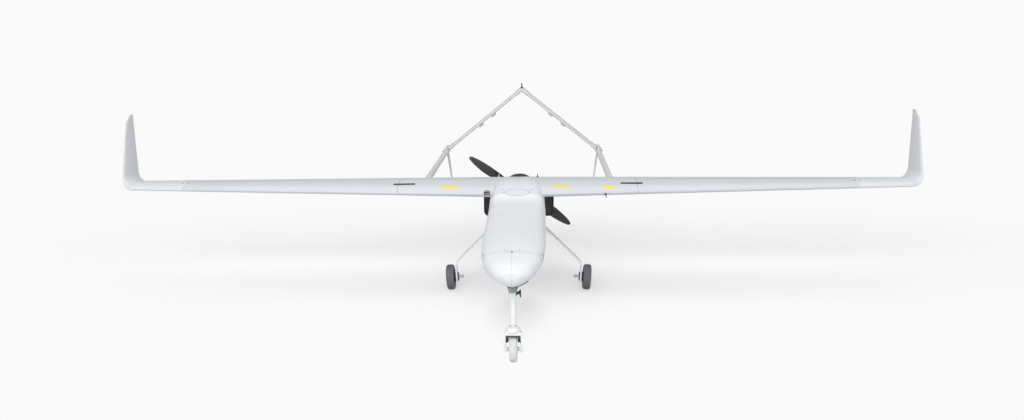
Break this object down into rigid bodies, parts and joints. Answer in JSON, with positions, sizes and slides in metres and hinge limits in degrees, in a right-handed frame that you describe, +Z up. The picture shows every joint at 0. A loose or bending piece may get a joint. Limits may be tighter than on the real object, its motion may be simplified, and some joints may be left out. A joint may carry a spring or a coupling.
{
  "type": "fixed wing drone",
  "caption": "Fixed wing drone with a long straight wing, upturned tips, twin tail booms, an inverted V tail, a pusher propeller and tricycle wheels.",
  "frame": {"origin": "middle of the overall box at the floor, under the wheels", "axes": "+X across the span towards the wing seen on the right in the front view, -Y towards the nose, +Z up"},
  "size_m": [4.0002, 2.5709, 0.954],
  "materials": {
    "airframe_skin": "gloss painted composite skin",
    "winglet_skin": "gloss painted composite skin",
    "tail_skin": "gloss painted composite skin",
    "carbon": "moulded carbon composite",
    "black_part": "moulded black",
    "dark_plate": "dark coated plate",
    "alloy": "machined alloy",
    "steel": "machined steel",
    "white_metal": "white painted alloy",
    "tyre_dark": "moulded rubber",
    "tyre_grey": "moulded grey rubber",
    "foam_core": "moulded",
    "battery_case": "metal cased pack",
    "laminate": "composite laminate"
  },
  "bodies": {
    "airframe": {"air_data_probe": "black_part", "antenna_masts": "airframe_skin", "apex_fitting": "tail_skin", "autopilot_box": "black_part", "avionics_tray": "laminate", "battery_pack": "battery_case", "body_frames": "laminate", "brake_plates": "dark_plate", "control_servos": "black_part", "cooling_shrouds": "black_part", "crankcase": "alloy", "cylinders": "alloy", "engine_mounts": "alloy", "exhaust_silencer": "alloy", "firewall": "laminate", "fuel_tank": "foam_core", "fuselage_shell": "airframe_skin", "gear_saddle": "white_metal", "intake_filter": "black_part", "lens_hatch": "airframe_skin", "main_axles": "steel", "main_gear_leg": "white_metal", "nose_cap": "airframe_skin", "nose_collar": "white_metal", "nose_gear_mount": "alloy", "nose_vents": "black_part", "panel_latches": "black_part", "payload_plate": "alloy", "root_scoop": "foam_core", "tail_boom_left": "tail_skin", "tail_boom_right": "tail_skin", "tail_panel_left": "tail_skin", "tail_panel_right": "tail_skin", "tail_sockets": "tail_skin", "ventral_fins": "tail_skin", "wing_center_panel": "airframe_skin", "wing_outer_left": "airframe_skin", "wing_outer_right": "airframe_skin", "wing_root_cover": "airframe_skin", "wing_spar": "carbon", "wingtip_left": "winglet_skin", "wingtip_right": "winglet_skin"},
    "propeller_group": {"propeller": "carbon", "prop_shaft": "steel"},
    "main_wheel_left": {"main_rim_left": "alloy", "main_tyre_left": "tyre_dark"},
    "main_wheel_right": {"main_rim_right": "alloy", "main_tyre_right": "tyre_dark"},
    "nose_leg": {"nose_strut": "white_metal", "steering_arm": "black_part"},
    "nose_fork_group": {"nose_fork": "white_metal", "nose_axle": "steel"},
    "nose_wheel": {"nose_rim": "alloy", "nose_tyre": "tyre_grey"},
    "aileron_left_surface": {"aileron_left": "airframe_skin"},
    "aileron_right_surface": {"aileron_right": "airframe_skin"},
    "flap_left_surface": {"flap_left": "airframe_skin"},
    "flap_right_surface": {"flap_right": "airframe_skin"},
    "ruddervator_left_surface": {"ruddervator_left": "tail_skin"},
    "ruddervator_right_surface": {"ruddervator_right": "tail_skin"}
  },
  "joints": [
    {"name": "propeller_spin", "type": "hinge", "parent": "airframe", "child": "propeller_group", "pos_m": [0, 0.41, 0.418], "axis": [0, 1, 0], "continuous": true},
    {"name": "main_wheel_left_spin", "type": "hinge", "parent": "airframe", "child": "main_wheel_left", "pos_m": [-0.347, -0.079, 0.06446], "axis": [0.9976, 0, 0.0698], "continuous": true},
    {"name": "main_wheel_right_spin", "type": "hinge", "parent": "airframe", "child": "main_wheel_right", "pos_m": [0.347, -0.079, 0.06446], "axis": [0.9976, 0, -0.0698], "continuous": true},
    {"name": "nose_steer", "type": "hinge", "parent": "airframe", "child": "nose_leg", "pos_m": [0, -1.101, 0.25], "axis": [0, 0, 1], "range_deg": [-30, 30]},
    {"name": "nose_oleo", "type": "slide", "parent": "nose_leg", "child": "nose_fork_group", "axis": [0, 0, 1], "range_m": [0, 0.025], "stiffness_N_per_m": 3000, "springref_m": -0.02},
    {"name": "nose_wheel_spin", "type": "hinge", "parent": "nose_fork_group", "child": "nose_wheel", "pos_m": [0, -1.101, 0.0535], "axis": [1, 0, 0], "continuous": true},
    {"name": "aileron_left_hinge", "type": "hinge", "parent": "airframe", "child": "aileron_left_surface", "pos_m": [-1.075, 0.05714, 0.53989], "axis": [-0.9989, -0.0457, 0.0069], "range_deg": [-25, 25]},
    {"name": "aileron_right_hinge", "type": "hinge", "parent": "airframe", "child": "aileron_right_surface", "pos_m": [1.075, 0.05714, 0.53989], "axis": [-0.9989, 0.0457, -0.0069], "range_deg": [-25, 25]},
    {"name": "flap_left_hinge", "type": "hinge", "parent": "airframe", "child": "flap_left_surface", "pos_m": [-0.625, 0.07774, 0.53676], "axis": [-0.9989, -0.0457, 0.0069], "range_deg": [0, 40]},
    {"name": "flap_right_hinge", "type": "hinge", "parent": "airframe", "child": "flap_right_surface", "pos_m": [0.625, 0.07774, 0.53676], "axis": [-0.9989, 0.0457, -0.0069], "range_deg": [0, 40]},
    {"name": "ruddervator_left_hinge", "type": "hinge", "parent": "airframe", "child": "ruddervator_left_surface", "pos_m": [-0.39504, 1.221, 0.60263], "axis": [-0.7796, 0, -0.6263], "range_deg": [-25, 25]},
    {"name": "ruddervator_right_hinge", "type": "hinge", "parent": "airframe", "child": "ruddervator_right_surface", "pos_m": [0.39504, 1.221, 0.60263], "axis": [-0.7796, 0, 0.6263], "range_deg": [-25, 25]}
  ]
}
